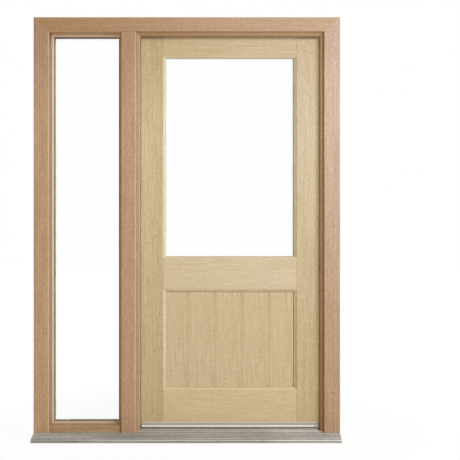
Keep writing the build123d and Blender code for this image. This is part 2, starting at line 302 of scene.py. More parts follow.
@dataclass(frozen=True)
class Timber:
    """A clear-finished timber with growth lines, streaks, fibres and pores along its length."""

    name: str
    pale: Colour
    deep: Colour
    pore: Colour
    ring: float
    streak: Span
    fibre: Span
    pore_cell: Span
    pore_depth: float
    roughness: float
    specular: float
    fleck: Span = (0.0034, 0.009)
    pore_share: float = 0.36
    pore_soft: float = 0.06
    contrast: float = 0.16
    shares: tuple[float, float, float, float] = (0.16, 0.22, 0.22, 0.40)
    pith: Span = (0.16, 0.31)
    drift: Triple = (0.05, 0.05, 0.7)
    wander: float = 0.006
    ring_layers: Span = (3.0, 0.62)
    grain_layers: Span = (2.0, 0.55)
    pore_layers: Span = (1.0, 0.4)
    pale_gloss: float = -0.1
    pore_gloss: float = 0.12
    sawn_step: Triple = (0.37, 0.11, 0.83)
    shut: float = 0.0018
    lip_width: float = 0.013
    relief: float = 0.0004

    def material(
        self,
        node: str,
        grain: Grain,
        tone: Tone,
        shut_dark: float = 0.0,
        strips: tuple[Strip, ...] = (),
    ) -> bpy.types.Material:
        """The finish of one board.

        Args:
            node: The node that is the board.
            grain: The way its grain runs.
            tone: How it differs from other boards, its end and lip tints being painted light and
                shade.
            shut_dark: How dark the finish lies along the joints at its ends, from 0 to 1.
            strips: Parts of the board painted paler or darker, as painted highlights on its edges
                and painted shade in its recesses.

        Returns:
            The new material.
        """
        material, board = new_material(f"{self.name}_{node}")
        across, _, length = grain.value
        low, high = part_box(node)
        half = (high - low) / 2
        shift = Vector(self.sawn_step) * tone.cut
        parts = board.split(board.place(middle_of(node)))
        laid = [board.math("ADD", parts[axis], shift[axis]) for axis in grain.value]
        colour, height, gloss = self.figure(board, laid, tone.bold)
        # Painted light and shade: the board pales or darkens from end to end and on its lip.
        along = board.spread(parts[length], -half[length], half[length])
        tint = board.blend(along, tone.start, tone.end)
        side = half[across] - self.lip_width
        on_lip = board.spread(parts[across], side - CRISP, side + CRISP)
        tint = board.blend(on_lip, tint, board.tinted(tint, tone.lip))
        colour = board.tinted(colour, tint)
        reach = board.math("ABSOLUTE", parts[length])
        near, end = (half[length] - gap for gap in (self.shut, self.shut / 3))
        colour = board.blend(board.spread(reach, near, end, 0.0, shut_dark), colour, self.pore)
        # The strips paint highlights and shade onto the board.
        for strip in strips:
            colour = strip.lay(board, board.place(Vector()), colour)
        self.finish(board, colour, height, gloss)
        return material

    def finish(self, board: Board, colour: Socket, height: Socket, gloss: Socket) -> None:
        """Put the clear finish over the grain.

        Args:
            board: The board of the material's nodes.
            colour: The grain's colour.
            height: The grain's height.
            gloss: The finish's roughness.
        """
        board.surface(
            Base_Color=colour,
            Roughness=gloss,
            Normal=board.bump(height, self.relief),
            Specular_IOR_Level=self.specular,
        )

    def figure(
        self, board: Board, laid: list[Socket], bold: float
    ) -> tuple[Socket, Socket, Socket]:
        """The grain at a place in the board.

        Args:
            board: The board of the material's nodes.
            laid: The place across, into and along the board, in metres.
            bold: How much stronger than usual the grain shows.

        Returns:
            The sockets of the colour, the height and the roughness.
        """
        place = board.join(laid)
        drift = board.noise(place, self.drift, 1.0)
        bow = board.math("MULTIPLY", board.math("SUBTRACT", drift, 0.5), self.wander)
        offsets = [board.math("SUBTRACT", *pair) for pair in zip(laid, self.pith)]
        squares = [board.math("MULTIPLY", part, part) for part in offsets]
        radius = board.math("SQRT", board.math("ADD", *squares))
        count = board.math("DIVIDE", board.math("ADD", radius, bow), self.ring)
        layers = [board.lines(count, *self.ring_layers)]
        for wide, long in (self.streak, self.fibre, self.fleck):
            layers.append(board.noise(place, (wide, wide, long), *self.grain_layers))
        mixed = board.weigh(layers, self.shares)
        wide, long = self.pore_cell
        pores = board.noise(place, (wide, wide, long), *self.pore_layers)
        least = 1.0 - self.pore_share
        marks = board.spread(pores, least, least + self.pore_soft)
        reach = self.contrast / bold
        shade = board.spread(mixed, 0.5 - reach, 0.5 + reach)
        colour = board.blend(shade, self.deep, self.pale)
        colour = board.blend(board.math("MULTIPLY", marks, self.pore_depth), colour, self.pore)
        height = board.math("MULTIPLY", board.math("SUBTRACT", mixed, marks), 0.5)
        gloss = board.weigh([shade, marks], (self.pale_gloss, self.pore_gloss))
        return colour, height, board.math("ADD", gloss, self.roughness)


@dataclass(frozen=True)
class VeneeredPanel:
    """An oak panel faced with slip-matched leaves of veneer, each like the one beside it."""

    oak: Timber
    first_joint: float = -0.127
    leaf: float = 0.1376
    climb: float = 0.021
    joint: float = 0.003
    joint_dark: float = 0.12
    near_side: Colour = (0.885, 0.878, 0.870)
    middle: Colour = (0.910, 0.902, 0.892)
    far_side: Colour = (0.845, 0.830, 0.808)
    rise: Span = (0.32, 0.52)
    turn: float = 0.68
    bold: float = 1.45
    heart: float = 0.55
    heart_width: float = 0.16
    dash: Span = (0.0022, 0.020)
    dash_range: Span = (0.56, 0.68)
    dash_dark: float = 0.5
    pale_lines: tuple[float, ...] = (0.03, 0.11, 0.21)
    pale_width: float = 0.024
    pale_share: float = 0.32
    # Painted shadows under the lips at the panel's right and top edges, and a painted lift of shade
    # along its foot.
    edge_shading: tuple[Strip, ...] = (
        Strip((0.64, 0.58, 0.50), x=(0.5374, 0.5440)),
        Strip((0.78, 0.74, 0.68), z=(0.7366, 0.7430)),
        Strip((1.07, 1.07, 1.06), z=(0.2500, 0.2620)),
    )

    def material(self, node: str) -> bpy.types.Material:
        """The finish of the panel.

        Args:
            node: The node that is the panel.

        Returns:
            The new material.
        """
        material, board = new_material(f"veneer_{node}")
        first = Vector((self.first_joint, 0.0, 0.0))
        across, depth, length = board.split(board.place(first))
        count = board.math("DIVIDE", across, self.leaf)
        number = board.math("FLOOR", count)
        share = board.math("SUBTRACT", count, number)
        inside = board.math("MULTIPLY", share, self.leaf)
        raised = board.math("ADD", length, board.math("MULTIPLY", number, self.climb))
        laid = [inside, depth, raised]
        colour, height, gloss = self.oak.figure(board, laid, self.bold)
        tint = board.blend(board.spread(share, *self.rise), self.near_side, self.middle)
        tint = board.blend(board.spread(share, self.turn, 1.0), tint, self.far_side)
        colour = board.tinted(colour, tint)
        for line in self.pale_lines:
            away = board.math("ABSOLUTE", board.math("SUBTRACT", share, line))
            shown = board.spread(away, 0.0, self.pale_width, self.pale_share, 0.0)
            colour = board.blend(shown, colour, self.oak.pale)
        wide, long = self.dash
        dashes = board.noise(board.join(laid), (wide, wide, long), 1.0)
        dashes = board.spread(dashes, *self.dash_range, 0.0, self.dash_dark)
        away = board.math("ABSOLUTE", board.math("SUBTRACT", share, self.heart))
        shown = board.spread(away, 0.0, self.heart_width, 1.0, 0.0)
        colour = board.blend(board.math("MULTIPLY", dashes, shown), colour, self.oak.pore)
        edge = board.spread(share, 0.0, self.joint / self.leaf, self.joint_dark, 0.0)
        colour = board.blend(edge, colour, self.oak.pore)
        # Lay the painted edge shadows and the lift along the foot.
        for strip in self.edge_shading:
            colour = strip.lay(board, board.place(Vector()), colour)
        self.oak.finish(board, colour, height, gloss)
        return material


@dataclass(frozen=True)
class DrawnMetal:
    """A metal with long fine lines along X, as drawing through a die leaves."""

    name: str
    bright: Colour
    dull: Colour
    metallic: float
    roughness: float
    line: float = 0.0022
    run: float = 0.35
    blotch: float = 0.05
    speck: float = 0.004
    line_layers: Span = (3.0, 0.6)
    speck_layers: Span = (2.0, 0.6)
    blotch_layers: Span = (3.0, 0.55)
    shares: Triple = (0.5, 0.1, 0.4)
    shade_range: Span = (0.42, 0.58)
    gloss_range: Span = (0.3, 0.7)
    gloss_swing: float = 0.08
    relief: float = 0.0001

    def material(self, node: str, strips: tuple[Strip, ...] = ()) -> bpy.types.Material:
        """The finish of one piece.

        Args:
            node: The piece's name.
            strips: Parts of it painted brighter or darker, as painted highlights and painted shade.

        Returns:
            The new material.
        """
        material, board = new_material(f"{self.name}_{node}")
        place = board.place(Vector())
        half = self.line / 2
        drawn = board.noise(place, (self.run, self.line, self.line), *self.line_layers)
        fine = board.noise(place, (self.speck, half, half), *self.speck_layers)
        cloud = board.noise(place, (self.blotch,) * 3, *self.blotch_layers)
        mixed = board.weigh([drawn, cloud, fine], self.shares)
        colour = board.blend(board.spread(mixed, *self.shade_range), self.dull, self.bright)
        # The strips paint highlights and shade onto the metal.
        for strip in strips:
            colour = strip.lay(board, place, colour)
        rough, fair = self.roughness + self.gloss_swing, self.roughness - self.gloss_swing
        gloss = board.spread(mixed, *self.gloss_range, rough, fair)
        normal = board.bump(board.math("ADD", drawn, fine), self.relief)
        board.surface(Base_Color=colour, Metallic=self.metallic, Roughness=gloss, Normal=normal)
        return material


@dataclass(frozen=True)
class ClearGlass:
    """Float glass with a trace of green and a faint waviness, which lets lamp light through."""

    thin: Colour = (0.997, 1.0, 0.997)
    thick: Colour = (0.988, 0.996, 0.990)
    wave: float = 0.35
    index: float = 1.46
    relief: float = 0.0004

    def material(self, node: str) -> bpy.types.Material:
        """The finish of one pane.

        Args:
            node: The pane's name.

        Returns:
            The new material.
        """
        material, board = new_material(f"clear_glass_{node}")
        cloud = board.noise(board.place(middle_of(node)), (self.wave,) * 3, 1.0)
        inputs = {
            "Base Color": board.blend(cloud, self.thin, self.thick),
            "Roughness": 0.0,
            "IOR": self.index,
            "Transmission Weight": 1.0,
            "Normal": board.bump(cloud, self.relief),
        }
        glass = board.add("ShaderNodeBsdfPrincipled", inputs).outputs[0]
        clear = board.add("ShaderNodeBsdfTransparent").outputs[0]
        shadow = board.add("ShaderNodeLightPath").outputs["Is Shadow Ray"]
        board.show(board.add("ShaderNodeMixShader", {0: shadow, 1: glass, 2: clear}).outputs[0])
        return material


@dataclass(frozen=True)
class Rubber:
    """A soft seal with a fine matt skin."""

    name: str
    body: Colour
    bloom: Colour
    speck: float = 0.0012
    haze: float = 0.04
    layers: float = 2.0
    haze_range: Span = (0.35, 0.7)
    skin_range: Span = (0.3, 0.7)
    gloss: Span = (0.5, 0.68)
    relief: float = 0.0002

    def material(self, node: str, strips: tuple[Strip, ...] = ()) -> bpy.types.Material:
        """The finish of one seal.

        Args:
            node: The seal's name.
            strips: Parts of it painted paler or darker, as painted light and painted shade.

        Returns:
            The new material.
        """
        material, board = new_material(f"{self.name}_{node}")
        place = board.place(Vector())
        skin = board.noise(place, (self.speck,) * 3, self.layers)
        haze = board.noise(place, (self.haze,) * 3, self.layers)
        colour = board.blend(board.spread(haze, *self.haze_range), self.body, self.bloom)
        # The strips paint light and shade onto the seal.
        for strip in strips:
            colour = strip.lay(board, place, colour)
        gloss = board.spread(skin, *self.skin_range, *self.gloss)
        board.surface(Base_Color=colour, Roughness=gloss, Normal=board.bump(skin, self.relief))
        return material


HARDWOOD = Timber(
    name="hardwood",
    pale=(0.555, 0.375, 0.245),
    deep=(0.365, 0.225, 0.132),
    pore=(0.200, 0.105, 0.052),
    ring=0.0062,
    streak=(0.0075, 0.30),
    fibre=(0.0016, 0.07),
    pore_cell=(0.0011, 0.016),
    pore_depth=0.42,
    roughness=0.50,
    specular=0.2,
)

OAK = Timber(
    name="pale_oak",
    pale=(0.705, 0.570, 0.365),
    deep=(0.525, 0.400, 0.235),
    pore=(0.330, 0.225, 0.110),
    ring=0.0055,
    streak=(0.0068, 0.24),
    fibre=(0.0014, 0.06),
    pore_cell=(0.0009, 0.013),
    pore_depth=0.34,
    roughness=0.54,
    specular=0.3,
    shares=(0.08, 0.26, 0.26, 0.40),
    pith=(0.45, 0.12),
)

BEAD_WOOD = Timber(
    name="pale_bead",
    pale=(0.690, 0.580, 0.445),
    deep=(0.560, 0.455, 0.330),
    pore=(0.380, 0.280, 0.180),
    ring=0.0050,
    streak=(0.0060, 0.20),
    fibre=(0.0014, 0.06),
    pore_cell=(0.0009, 0.013),
    pore_depth=0.30,
    roughness=0.50,
    specular=0.3,
)

SILL_METAL = DrawnMetal(
    name="mill_aluminium",
    bright=(0.54, 0.53, 0.495),
    dull=(0.31, 0.30, 0.275),
    metallic=0.30,
    roughness=0.46,
    line=0.009,
    run=0.60,
    speck=0.007,
)
BAR_METAL = DrawnMetal("mill_aluminium", (0.83, 0.815, 0.785), (0.73, 0.715, 0.685), 0.20, 0.40)
HINGE_STEEL = DrawnMetal(
    name="satin_steel",
    bright=(0.60, 0.60, 0.61),
    dull=(0.46, 0.46, 0.47),
    metallic=0.95,
    roughness=0.30,
    line=0.0006,
    run=0.02,
    blotch=0.02,
    speck=0.003,
)
DARK_SPACER = DrawnMetal("bronze_spacer", (0.24, 0.185, 0.125), (0.16, 0.12, 0.08), 0.3, 0.5)
PALE_SPACER = DrawnMetal("plain_spacer", (0.62, 0.61, 0.58), (0.50, 0.49, 0.47), 0.6, 0.4)
BROWN_RUBBER = Rubber("brown_rubber", (0.100, 0.066, 0.034), (0.140, 0.096, 0.052))
DARK_SEALANT = Rubber("dark_sealant", (0.140, 0.112, 0.080), (0.180, 0.146, 0.106))
PALE_SEALANT = Rubber("pale_sealant", (0.50, 0.48, 0.44), (0.58, 0.56, 0.52))
GLASS = ClearGlass()


class Workpiece:
    """A new piece, shaped from a primitive with the edit tools."""

    def __init__(self, name: str) -> None:
        """Take over the primitive that was just added, with its place put into its mesh.

        Args:
            name: The piece's name.
        """
        bpy.ops.object.transform_apply(location=True, rotation=True, scale=True)
        self.piece = bpy.context.object
        self.piece.name = name
        self.piece.data.name = name
        bpy.ops.object.mode_set(mode="EDIT")

    @classmethod
    def block(cls, name: str, low: Vector, high: Vector) -> "Workpiece":
        """Start from a block between two corners.

        Args:
            name: The piece's name.
            low: Its lowest corner.
            high: Its highest corner.

        Returns:
            The workpiece.
        """
        bpy.ops.object.select_all(action="DESELECT")
        bpy.ops.mesh.primitive_cube_add(size=1.0, location=(low + high) / 2, scale=high - low)
        return cls(name)

    @classmethod
    def sheet(cls, name: str, low: Vector, high: Vector) -> "Workpiece":
        """Start from an upright sheet that faces the front.

        Args:
            name: The piece's name.
            low: Its lowest corner, at its depth.
            high: Its highest corner.

        Returns:
            The workpiece.
        """
        bpy.ops.object.select_all(action="DESELECT")
        upright = (math.pi / 2, 0.0, 0.0)
        bpy.ops.mesh.primitive_plane_add(size=1.0, location=(low + high) / 2, rotation=upright)
        bpy.ops.transform.resize(value=(high.x - low.x, 1.0, high.z - low.z))
        return cls(name)

    @classmethod
    def disc(cls, name: str, radius: float, thickness: float, sides: int) -> "Workpiece":
        """Start from a round block about the X axis, at the origin.

        Args:
            name: The piece's name.
            radius: Its radius.
            thickness: Its length along X.
            sides: How many sides it has.

        Returns:
            The workpiece.
        """
        bpy.ops.object.select_all(action="DESELECT")
        bpy.ops.mesh.primitive_cylinder_add(
            vertices=sides, radius=radius, depth=thickness, rotation=(0.0, math.pi / 2, 0.0)
        )
        return cls(name)

    def pick(self, kind: str, rule: Callable[[Vector, Vector], bool]) -> None:
        """Select some of the mesh.

        Args:
            kind: VERT, EDGE or FACE.
            rule: Says if an element is wanted, from its middle and its normal or an edge's run.
        """
        bpy.ops.mesh.select_mode(type=kind)
        bpy.ops.mesh.select_all(action="DESELECT")
        mesh = bmesh.from_edit_mesh(self.piece.data)
        if kind == "FACE":
            found = [(face, face.calc_center_median(), face.normal) for face in mesh.faces]
        elif kind == "EDGE":
            ends = [(edge, edge.verts[0].co, edge.verts[1].co) for edge in mesh.edges]
            found = [(edge, (one + two) / 2, (two - one).normalized()) for edge, one, two in ends]
        else:
            found = [(point, point.co, point.normal) for point in mesh.verts]
        for element in [element for element, middle, way in found if rule(middle, way)]:
            element.select_set(True)
        mesh.select_flush_mode()
        bmesh.update_edit_mesh(self.piece.data)

    def inset(self, width: float) -> None:
        """Draw the selected faces in from their edges."""
        bpy.ops.mesh.inset(thickness=width)

    def extrude(self, way: Triple) -> None:
        """Carry the selected faces out, with walls behind them."""
        bpy.ops.mesh.extrude_region_move(TRANSFORM_OT_translate={"value": way})

    def move(self, way: Triple) -> None:
        """Move what is selected."""
        bpy.ops.transform.translate(value=way)

    def bevel(self, width: float, segments: int) -> None:
        """Round the selected edges."""
        bpy.ops.mesh.bevel(offset=width, segments=segments, affect="EDGES", profile=0.5)

    def clear(self) -> None:
        """Take the selected faces away."""
        bpy.ops.mesh.delete(type="FACE")

    def done(self, smooth_angle: float = 40.0) -> bpy.types.Object:
        """Merge doubles, point the faces outwards and leave edit mode.

        Args:
            smooth_angle: Faces that meet at less than this are shaded as one, in degrees.

        Returns:
            The finished object.
        """
        bpy.ops.mesh.select_all(action="SELECT")
        bpy.ops.mesh.remove_doubles(threshold=SAME_PLACE)
        bpy.ops.mesh.normals_make_consistent(inside=False)
        bpy.ops.object.mode_set(mode="OBJECT")
        bpy.ops.object.shade_smooth_by_angle(angle=math.radians(smooth_angle))
        return self.piece


def seat(piece: bpy.types.Object, body: Body) -> None:
    """Make a finished piece part of the door set.

    Args:
        piece: The finished piece.
        body: The body that it moves with.
    """
    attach(piece, body.value)
    LOG.info("%s rides on %s", piece.name, body.value)


def dress(node: str, material: bpy.types.Material) -> None:
    """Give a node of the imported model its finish."""
    paint(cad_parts[node], material)
    LOG.info("%s is finished in %s", node, material.name)


def dress_panes(light: str) -> None:
    """Finish both panes of a light.

    Args:
        light: The light's name, sidelight or door.
    """
    for pane in ("outer", "inner"):
        node = f"{light}_{pane}_pane"
        dress(node, GLASS.material(node))


@dataclass
class OuterFrame:
    """The fixed timber frame: jambs, mullion, head and the rail and core at its foot."""

    # The end and lip tints are painted light and shade: the right jamb pales to a painted highlight
    # at its top, the head darkens towards its left end, the mullion towards its foot, and the left
    # jamb's lip is painted shade in its reveal; the cut numbers only shift the grain.
    boards: dict[str, tuple[Grain, Tone]] = field(
        default_factory=lambda: {
            "left_jamb": (
                Grain.UP,
                Tone((1.0, 0.97, 0.93), (0.97, 0.96, 0.95), 1.0, (0.85, 0.79, 0.71)),
            ),
            "mullion": (Grain.UP, Tone((0.94, 0.90, 0.84), (0.97, 0.96, 0.95), 2.3)),
            "right_jamb": (Grain.UP, Tone((0.915, 0.90, 0.885), (1.20, 1.40, 1.70), 3.1)),
            "head": (Grain.ACROSS, Tone((0.80, 0.73, 0.61), (1.02, 1.075, 1.16), 4.7)),
            "sidelight_bottom_rail": (
                Grain.ACROSS,
                Tone((0.89, 0.86, 0.69), (0.89, 0.86, 0.69), 5.9, bold=1.5),
            ),
            "sill_core": (Grain.ACROSS, Tone((0.90, 0.86, 0.80), (0.90, 0.86, 0.80), 6.2)),
        }
    )
    # Painted light and shade: highlights on the rounded arrises, bands of painted shade and light
    # on the stops and in the rebates, lighter reveals over the sidelight, and each upright darker
    # towards its top.
    strips: dict[str, tuple[Strip, ...]] = field(
        default_factory=lambda: {
            "left_jamb": (
                Strip((1.32, 1.41, 1.54), x=(-0.6970, -0.6918), y=(-0.006, 0.006)),
                Strip((0.83, 0.79, 0.78), z=(1.85, 2.50), soft=(0.0, 0.0, 0.25)),
            ),
            "mullion": (
                Strip((1.22, 1.36, 1.52), x=(-0.2610, -0.2558), y=(-0.006, 0.006)),
                Strip((1.06, 1.14, 1.24), x=(-0.2556, -0.2368)),
                Strip((0.70, 0.68, 0.64), x=(-0.2368, -0.2300)),
                Strip((1.05, 0.98, 0.88), x=(-0.3430, -0.3285)),
                Strip((1.28, 1.26, 1.22), x=(-0.3285, -0.3232), y=(-0.006, 0.006)),
                Strip((0.865, 0.82, 0.805), z=(1.85, 2.50), soft=(0.0, 0.0, 0.25)),
            ),
            "right_jamb": (
                Strip((0.86, 0.80, 0.66), x=(0.6600, 0.6900)),
                Strip((0.84, 0.82, 0.78), x=(0.6600, 0.6762)),
                Strip((0.64, 0.55, 0.38), x=(0.6600, 0.6706)),
                Strip((0.88, 0.89, 0.80), x=(0.6706, 0.6745)),
                Strip((1.0, 0.96, 0.79), x=(0.6775, 0.6842)),
                Strip((0.88, 0.77, 0.58), x=(0.6842, 0.6896)),
                Strip((0.865, 0.83, 0.815), z=(1.915, 2.50), soft=(0.0, 0.0, 0.165)),
            ),
            "head": (
                Strip((0.97, 0.93, 0.84), x=DOORWAY, z=(2.0200, 2.0468)),
                Strip((0.78, 0.76, 0.70), x=(-0.2555, 0.6762), z=(2.0200, 2.0382)),
                Strip((0.72, 0.66, 0.56), x=DOORWAY, z=(2.0462, 2.0482)),
                Strip((1.20, 1.20, 1.20), x=(-0.2555, 0.6835), z=(2.0386, 2.0436)),
                Strip((1.36, 1.32, 1.22), x=SIDE_OPENING, z=(2.0200, 2.0500)),
                Strip((1.22, 1.22, 1.18), x=SIDE_OPENING, z=(2.0200, 2.0440)),
            ),
        }
    )

    def dress(self) -> None:
        """Finish each board, with painted highlights on its edges and painted light and shade on
        its faces.
        """
        for node, (grain, tone) in self.boards.items():
            dress(node, HARDWOOD.material(node, grain, tone, strips=self.strips.get(node, ())))


@dataclass
class Sill:
    """The metal that covers the sill and the bar that throws rain off the leaf."""

    # Painted light and shade on the cover: a darker nose face, a painted highlight along the nose's
    # top, darker in the groove behind it with a lighter band behind that, a lift of the weather
    # bar's shadow under the leaf, a darker band under the sidelight, and paler towards both ends
    # with a duller middle.
    cover_shading: tuple[Strip, ...] = (
        Strip((0.71, 0.70, 0.66), y=NOSE, z=NOSE_FOOT),
        Strip((0.87, 0.85, 0.82), (0.30, 1.0), NOSE, NOSE_FOOT, (0.1, CRISP, CRISP)),
        Strip((1.38, 1.40, 1.42), (-0.30, 1.0), NOSE, (0.0112, 0.0152), (0.2, CRISP, CRISP)),
        Strip((0.76, 0.75, 0.73), (-1.0, -0.45), NOSE, (0.004, 0.0152), (0.1, CRISP, CRISP)),
        Strip((0.66, 0.66, 0.66), y=(-0.0668, -0.0566), z=SLOPE_FOOT),
        Strip(
            (1.34, 1.35, 1.36), (-0.20, 1.0), (-0.0566, -0.0468), SLOPE_FOOT, (0.2, CRISP, CRISP)
        ),
        Strip((1.44, 1.44, 1.45), DOORWAY, (0.0140, 0.0700), soft=(CRISP, 0.006, CRISP)),
        Strip((1.24, 1.22, 1.20), DOORWAY, (0.0370, 0.0700), soft=(CRISP, 0.004, CRISP)),
        Strip((0.86, 0.83, 0.78), SIDE_OPENING, (0.0020, 0.0200), soft=(CRISP, 0.004, CRISP)),
        Strip((1.10, 1.10, 1.10), x=(-1.0, -0.33), soft=(0.12, 0.0, 0.0)),
        Strip((0.92, 0.92, 0.93), x=(-0.33, 0.40), soft=(0.12, 0.0, 0.0)),
        Strip((1.13, 1.15, 1.20), x=(0.45, 1.60), soft=(0.10, 0.0, 0.0)),
    )
    # The bands of painted shade and light along the slope.
    line_count: int = 4
    line_pitch: float = 0.0167
    first_line: float = -0.0420
    lines_across: Span = (-0.25, 1.0)
    line_soft: Triple = (0.1, 0.001, 0.0)
    line_tints: tuple[Colour, Colour] = ((0.90, 0.90, 0.90), (1.10, 1.10, 1.10))
    # Painted shade on the bar: a darker sloped top, a painted shadow line along its drip edge, and
    # a painted shadow at its right end.
    bar_shading: tuple[Strip, ...] = (
        Strip((0.47, 0.47, 0.48), z=(0.0652, 0.0754)),
        Strip((0.62, 0.55, 0.46), z=(0.0500, 0.0571)),
        Strip(
            (0.62, 0.61, 0.60), x=(0.6400, 0.7000), z=(0.0571, 0.0652), soft=(0.004, 0.0, CRISP)
        ),
    )

    def dress(self) -> None:
        """Finish the cover and the bar."""
        strips = (*self.cover_shading, *self.drawn_lines())
        dress("sill_cover", SILL_METAL.material("sill_cover", strips))
        dress("weather_bar", BAR_METAL.material("weather_bar", self.bar_shading))

    def drawn_lines(self) -> list[Strip]:
        """Even bands along the cover's slope, painted dull and bright in turn as shade and light.

        Returns:
            A strip for each half of each line.
        """
        half = self.line_pitch / 2
        lines = []
        for number in range(2 * self.line_count):
            start = self.first_line + (number - 0.5) * half
            tint = self.line_tints[number % 2]
            along = (start, start + half)
            lines.append(Strip(tint, self.lines_across, along, soft=self.line_soft))
        return lines


@dataclass
class GlazingSeal:
    """A ring of sealant in the corner between a pane's face and the timber round it.

    Its widths are those at the left, the right, the foot and the top.
    """

    light: str
    body: Body
    finish: Rubber
    widths: tuple[float, float, float, float]
    depth: float
    strips: tuple[Strip, ...] = ()
    tuck: float = 0.0002

    def build(self) -> None:
        """Model the ring with a three-cornered section."""
        name = f"{self.light}_glazing_seal"
        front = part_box(f"{self.light}_outer_pane")[0].y
        left, right, foot, top = (
            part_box(f"{self.light}_bead_{side}") for side in ("left", "right", "bottom", "top")
        )
        low = Vector((left[1].x - self.tuck, front, foot[1].z - self.tuck))
        high = Vector((right[0].x + self.tuck, front, top[0].z + self.tuck))
        centre = (low + high) / 2
        least = min(self.widths)
        across, up = (high.x - low.x - least) / 2, (high.z - low.z - least) / 2

        def inner(point: Vector) -> bool:
            """Say if a point is on the ring's inner edge."""
            return abs(point.x - centre.x) < across and abs(point.z - centre.z) < up

        ring = Workpiece.sheet(name, low, high)
        ring.inset(least)
        ring.clear()
        for (axis, way), width in zip(((0, -1), (0, 1), (2, -1), (2, 1)), self.widths):
            ring.pick("VERT", lambda point, _: inner(point) and (point - centre)[axis] * way > 0)
            step = [0.0, 0.0, 0.0]
            step[axis] = way * (least - width)
            ring.move(tuple(step))
        ring.pick("FACE", lambda middle, normal: True)
        ring.extrude((0.0, -self.depth, 0.0))
        halfway = front - self.depth / 2
        ring.pick("VERT", lambda point, _: point.y < halfway and inner(point))
        ring.move((0.0, self.depth, 0.0))
        piece = ring.done()
        paint(piece, self.finish.material(name, self.strips))
        seat(piece, self.body)


@dataclass
class Sidelight:
    """The narrow fixed light: two panes, the bar between them, and the beads that hold them."""

    # The bead tints are painted light and shade: the right bead darkened to brown as painted shade,
    # the top bead lightened and the bottom bead warmed; the cut numbers only shift the grain.
    tones_and_shading: dict[str, Tone] = field(
        default_factory=lambda: {
            "left": Tone(cut=7.4),
            "right": Tone((0.735, 0.52, 0.28), (0.735, 0.52, 0.28), 8.1),
            "top": Tone((1.20, 1.12, 1.02), (1.20, 1.12, 1.02), 8.8),
            "bottom": Tone((1.02, 0.93, 0.83), (1.02, 0.93, 0.83), 9.3),
        }
    )
    # Painted shade: darker bands on the left bead, the top bead and the bottom bead.
    strips: dict[str, tuple[Strip, ...]] = field(
        default_factory=lambda: {
            "left": (Strip((0.78, 0.70, 0.60), x=(-0.6900, -0.6838)),),
            "top": (Strip((0.79, 0.75, 0.67), z=(2.0376, 2.0450), soft=(0.0, 0.0, 0.0015)),),
            "bottom": (Strip((0.84, 0.78, 0.68), z=(0.0700, 0.0762)),),
        }
    )
    seal_widths: tuple[float, float, float, float] = (0.0022, 0.0020, 0.0040, 0.0095)
    seal_depth: float = 0.0022
    # A painted lift of the shade on the seal's right side, paler and browner.
    seal_shading: tuple[Strip, ...] = (Strip((2.3, 1.95, 1.4), x=(-0.36, -0.335)),)
    # Painted light on the spacer's left side, and a paler, browner painted lift on its right side.
    spacer_shading: tuple[Strip, ...] = (
        Strip((2.6, 2.6, 2.6), x=(-0.70, -0.60)),
        Strip((3.0, 2.5, 1.8), x=(-0.36, -0.30)),
    )

    def build(self) -> None:
        """Model the sealant round the outer pane."""
        sizes = (self.seal_widths, self.seal_depth, self.seal_shading)
        GlazingSeal("sidelight", Body.FRAME, DARK_SEALANT, *sizes).build()

    def dress(self) -> None:
        """Finish the beads, the panes and the spacer."""
        for side, tone in self.tones_and_shading.items():
            node = f"sidelight_bead_{side}"
            grain = Grain.UP if side in ("left", "right") else Grain.ACROSS
            dress(node, BEAD_WOOD.material(node, grain, tone, strips=self.strips.get(side, ())))
        dress_panes("sidelight")
        dress("sidelight_spacer", DARK_SPACER.material("sidelight_spacer", self.spacer_shading))


